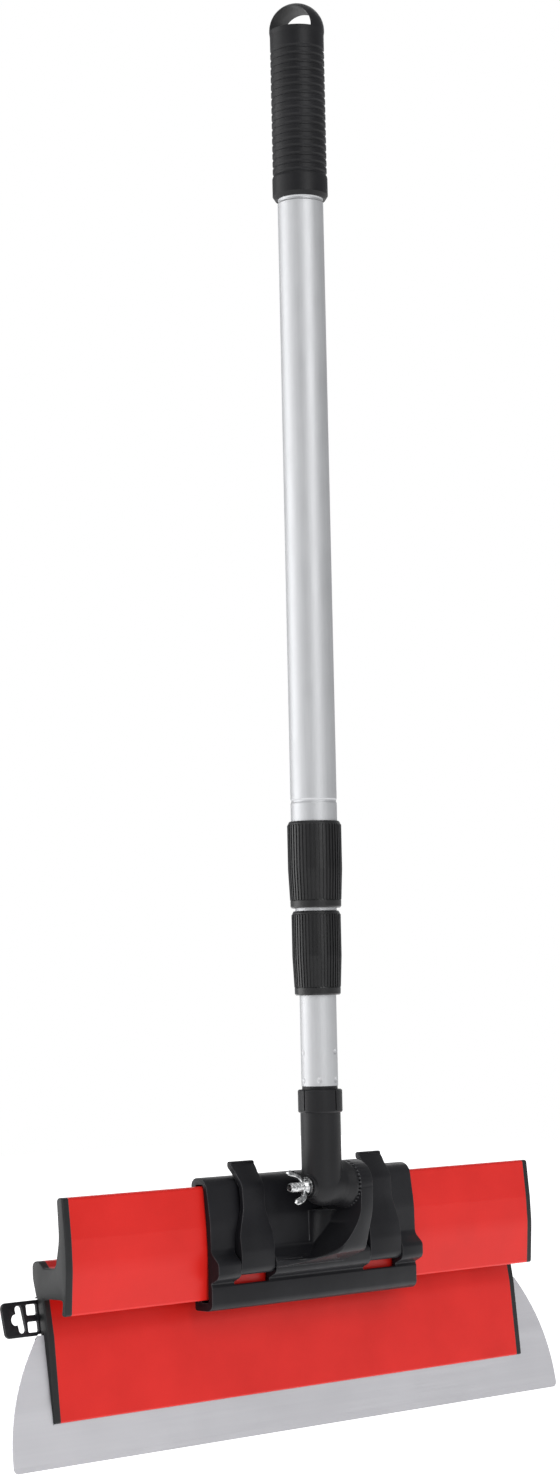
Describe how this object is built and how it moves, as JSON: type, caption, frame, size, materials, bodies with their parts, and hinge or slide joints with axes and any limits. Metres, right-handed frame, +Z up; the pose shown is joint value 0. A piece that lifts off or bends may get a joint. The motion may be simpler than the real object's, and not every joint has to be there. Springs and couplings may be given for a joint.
{
  "type": "skimming blade on telescopic pole",
  "caption": "Wide flexible steel blade in an extruded handle, clipped to a tilting adapter on a three-section twist-lock telescopic pole.",
  "frame": {"origin": "middle of the blade's working edge", "axes": "+Z up along the pole, +X to the right along the blade, -Y to the front where the pole and adapter are"},
  "size_m": [0.4, 0.0605, 0.7579],
  "materials": {
    "grip_plastic": "ribbed, satin moulded black",
    "anodised_tube": "silver anodised, fine brushed",
    "collar_plastic": "ribbed, satin moulded black",
    "joint_plastic": "satin moulded black, glass filled",
    "shell_plastic": "satin moulded black",
    "cap_plastic": "matte moulded dark grey",
    "inner_plastic": "plain moulded",
    "red_handle": "red powder coat, semi-gloss",
    "blade_steel": "stainless, fine satin grain",
    "zinc": "bright zinc plate",
    "pin_steel": "plain steel"
  },
  "bodies": {
    "pole": {"grip": "grip_plastic", "outer_tube": "anodised_tube", "upper_collet": "inner_plastic"},
    "upper_lock": {"upper_lock_collar": "collar_plastic"},
    "middle_section": {"middle_tube": "anodised_tube", "middle_tube_guide": "inner_plastic", "lower_collet": "inner_plastic"},
    "lower_lock": {"lower_lock_collar": "collar_plastic"},
    "lower_section": {"inner_tube": "anodised_tube", "inner_tube_guide": "inner_plastic", "tip_plug": "joint_plastic", "elbow_socket": "joint_plastic"},
    "adapter": {"adapter_shell": "shell_plastic", "latch_pin_left": "pin_steel", "latch_pin_right": "pin_steel", "pivot_bolt": "zinc", "pivot_washer": "zinc"},
    "wing_nut": {"wing_nut": "zinc"},
    "latch_left": {"latch_left": "shell_plastic"},
    "latch_right": {"latch_right": "shell_plastic"},
    "head": {"handle_profile": "red_handle", "end_cap_left": "cap_plastic", "end_cap_right": "cap_plastic", "blade": "blade_steel", "blade_strip": "inner_plastic", "hang_tab": "shell_plastic"}
  },
  "joints": [
    {"name": "upper_lock_twist", "type": "hinge", "parent": "pole", "child": "upper_lock", "pos_m": [-0.0144, -0.028, 0.2953], "axis": [0, 0, 1], "range_deg": [0, 120]},
    {"name": "middle_section_slide", "type": "slide", "parent": "pole", "child": "middle_section", "axis": [0, 0, -1], "range_m": [0, 0.38]},
    {"name": "lower_lock_twist", "type": "hinge", "parent": "middle_section", "child": "lower_lock", "pos_m": [-0.0144, -0.028, 0.2487], "axis": [0, 0, 1], "range_deg": [0, 120]},
    {"name": "lower_section_slide", "type": "slide", "parent": "middle_section", "child": "lower_section", "axis": [0, 0, -1], "range_m": [-0.044, 0.34]},
    {"name": "elbow_tilt", "type": "hinge", "parent": "lower_section", "child": "adapter", "pos_m": [0.0013, -0.028, 0.128], "axis": [1, 0, 0], "range_deg": [-100, 20]},
    {"name": "wing_nut_turn", "type": "hinge", "parent": "adapter", "child": "wing_nut", "pos_m": [-0.029, -0.028, 0.128], "axis": [-1, 0, 0], "continuous": true},
    {"name": "latch_left_open", "type": "hinge", "parent": "adapter", "child": "latch_left", "pos_m": [-0.0508, -0.0133, 0.0886], "axis": [1, 0, 0], "range_deg": [0, 100]},
    {"name": "latch_right_open", "type": "hinge", "parent": "adapter", "child": "latch_right", "pos_m": [0.044, -0.0133, 0.0886], "axis": [1, 0, 0], "range_deg": [0, 100]},
    {"name": "handle_shift", "type": "slide", "parent": "adapter", "child": "head", "axis": [1, 0, 0], "range_m": [-0.085, 0.085]}
  ]
}
